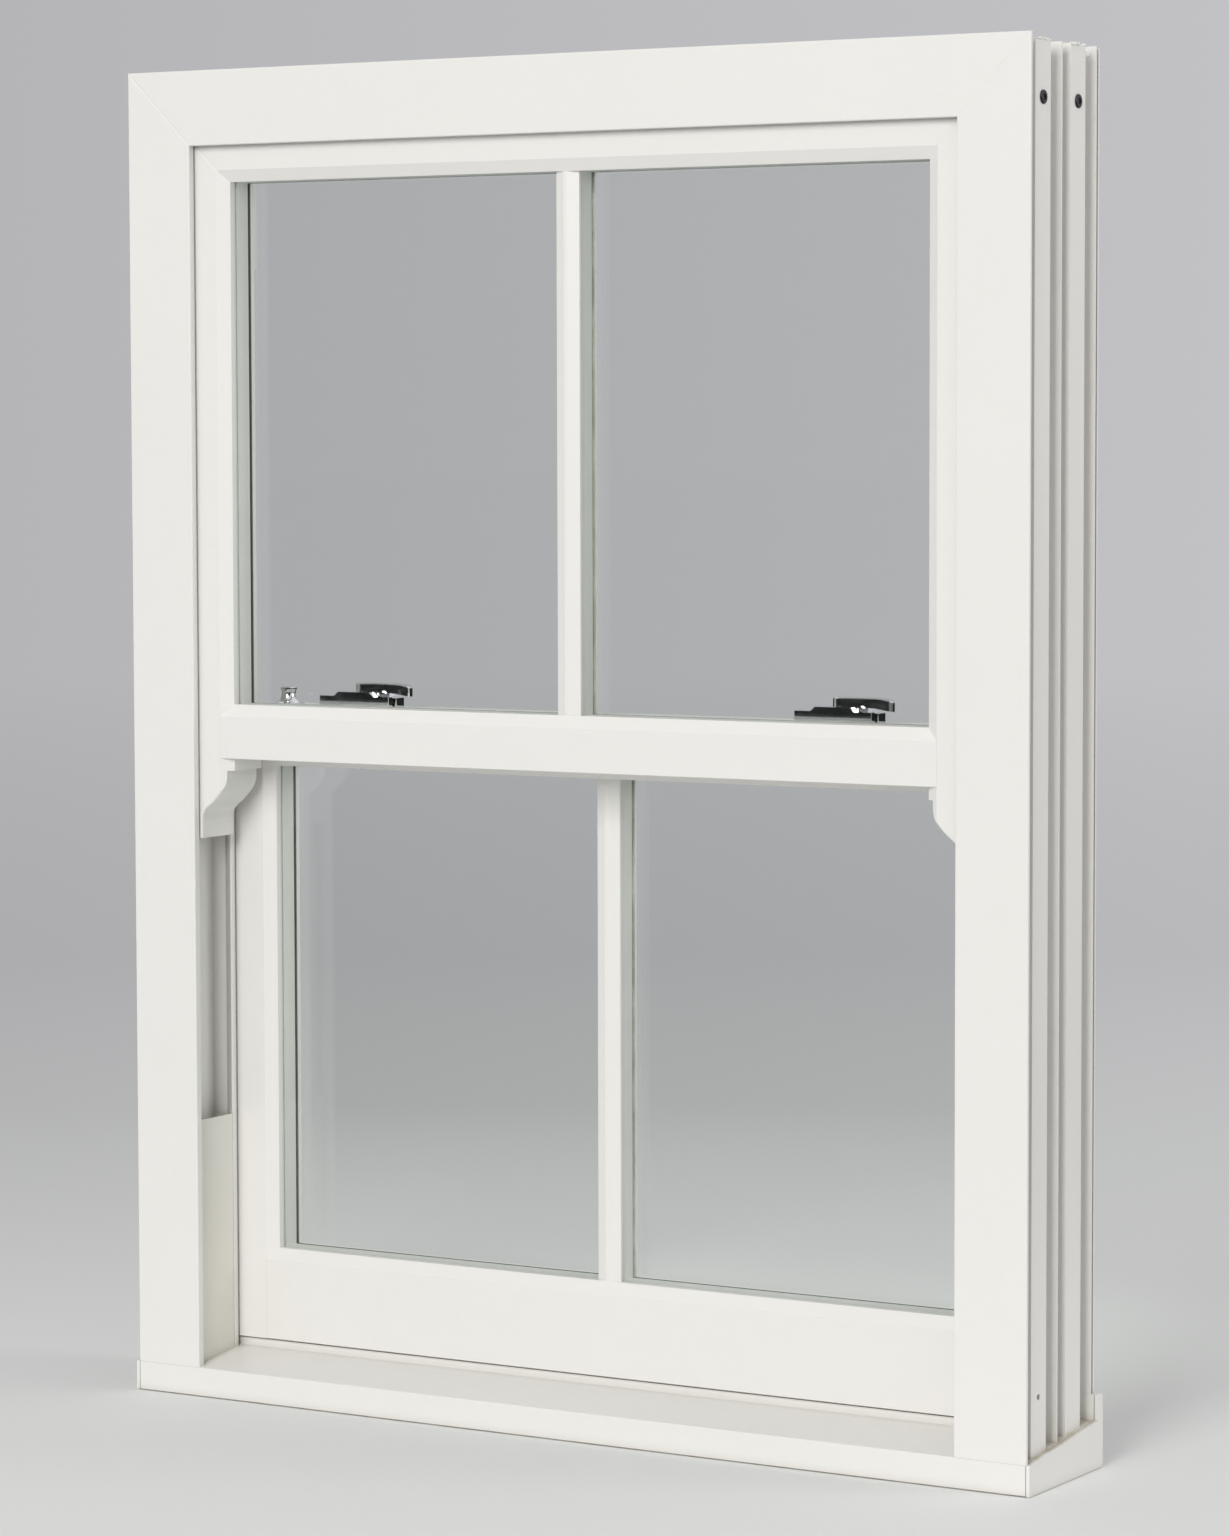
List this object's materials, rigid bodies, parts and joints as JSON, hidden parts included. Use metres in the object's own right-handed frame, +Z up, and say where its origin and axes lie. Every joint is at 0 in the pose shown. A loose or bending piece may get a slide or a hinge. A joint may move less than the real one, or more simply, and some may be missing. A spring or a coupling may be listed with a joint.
{
  "type": "vertical sliding sash window",
  "caption": "Outer frame with sill, two glazed sashes that slide past each other on balances, cam fasteners and tilt latches.",
  "frame": {"origin": "centre of the sill's underside, in the middle of the frame's width and depth", "axes": "+Z up, +Y from the outside face to the room, +X to the right as seen from outside"},
  "size_m": [0.856, 0.132, 1.128],
  "materials": {
    "white_plastic": "extruded and welded, soft gloss",
    "clear_glass": "clear float glass",
    "grey_spacer": "matt",
    "soft_gasket": "smooth",
    "pile": "woven pile",
    "chrome_metal": "polished plating",
    "bright_steel": "zinc plated",
    "zinc_steel": "zinc plated",
    "moulded_nylon": "moulded, matt",
    "grey_tube": "drawn, matt"
  },
  "bodies": {
    "frame": {"balance_bushes": "moulded_nylon", "balance_screws": "bright_steel", "balance_tubes": "grey_tube", "frame_brushes": "pile", "head": "white_plastic", "inner_track_cover_left": "white_plastic", "inner_track_cover_right": "white_plastic", "jamb_left": "white_plastic", "jamb_right": "white_plastic", "outer_track_cover_left": "white_plastic", "outer_track_cover_right": "white_plastic", "sill": "white_plastic", "sill_end_cap_left": "white_plastic", "sill_end_cap_right": "white_plastic", "sill_weather_bar": "white_plastic"},
    "upper_sash": {"keep_screws": "bright_steel", "keeps": "chrome_metal", "upper_balance_rods": "zinc_steel", "upper_balance_shoes": "moulded_nylon", "upper_bead_bottom": "white_plastic", "upper_bead_left": "white_plastic", "upper_bead_right": "white_plastic", "upper_bead_top": "white_plastic", "upper_gaskets": "soft_gasket", "upper_inner_bar": "white_plastic", "upper_inner_pane": "clear_glass", "upper_interlock": "white_plastic", "upper_meeting_rail": "white_plastic", "upper_outer_bar": "white_plastic", "upper_outer_pane": "clear_glass", "upper_spacer_frame": "grey_spacer", "upper_stile_left": "white_plastic", "upper_stile_right": "white_plastic", "upper_top_rail": "white_plastic"},
    "lower_sash": {"fastener_bases": "chrome_metal", "fastener_screws": "bright_steel", "lower_balance_rods": "zinc_steel", "lower_balance_shoes": "moulded_nylon", "lower_bead_bottom": "white_plastic", "lower_bead_left": "white_plastic", "lower_bead_right": "white_plastic", "lower_bead_top": "white_plastic", "lower_bottom_rail": "white_plastic", "lower_gaskets": "soft_gasket", "lower_inner_bar": "white_plastic", "lower_inner_pane": "clear_glass", "lower_interlock": "white_plastic", "lower_outer_bar": "white_plastic", "lower_outer_pane": "clear_glass", "lower_spacer_frame": "grey_spacer", "lower_stile_left": "white_plastic", "lower_stile_right": "white_plastic", "lower_top_rail": "white_plastic"},
    "fastener_lever_left": {"fastener_lever_left": "chrome_metal"},
    "fastener_lever_right": {"fastener_lever_right": "chrome_metal"},
    "tilt_latch_left": {"tilt_latch_left": "chrome_metal"},
    "tilt_latch_right": {"tilt_latch_right": "chrome_metal"},
    "upper_latch_left": {"upper_latch_left": "moulded_nylon"},
    "upper_latch_right": {"upper_latch_right": "moulded_nylon"}
  },
  "joints": [
    {"name": "upper_sash_slide", "type": "slide", "parent": "frame", "child": "upper_sash", "axis": [0, 0, 1], "range_m": [-0.24, 0]},
    {"name": "lower_sash_slide", "type": "slide", "parent": "frame", "child": "lower_sash", "axis": [0, 0, 1], "range_m": [0, 0.37]},
    {"name": "fastener_left_turn", "type": "hinge", "parent": "lower_sash", "child": "fastener_lever_left", "pos_m": [-0.2365, 0.017, 0.6], "axis": [0, 0, 1], "range_deg": [0, 180]},
    {"name": "fastener_right_turn", "type": "hinge", "parent": "lower_sash", "child": "fastener_lever_right", "pos_m": [0.2233, 0.017, 0.6], "axis": [0, 0, 1], "range_deg": [0, 180]},
    {"name": "tilt_latch_left_slide", "type": "slide", "parent": "lower_sash", "child": "tilt_latch_left", "axis": [1, 0, 0], "range_m": [0, 0.012], "stiffness_N_per_m": 600, "springref_m": -0.006},
    {"name": "tilt_latch_right_slide", "type": "slide", "parent": "lower_sash", "child": "tilt_latch_right", "axis": [-1, 0, 0], "range_m": [0, 0.012], "stiffness_N_per_m": 600, "springref_m": -0.006},
    {"name": "upper_latch_left_slide", "type": "slide", "parent": "upper_sash", "child": "upper_latch_left", "axis": [1, 0, 0], "range_m": [0, 0.012], "stiffness_N_per_m": 600, "springref_m": -0.006},
    {"name": "upper_latch_right_slide", "type": "slide", "parent": "upper_sash", "child": "upper_latch_right", "axis": [-1, 0, 0], "range_m": [0, 0.012], "stiffness_N_per_m": 600, "springref_m": -0.006}
  ]
}
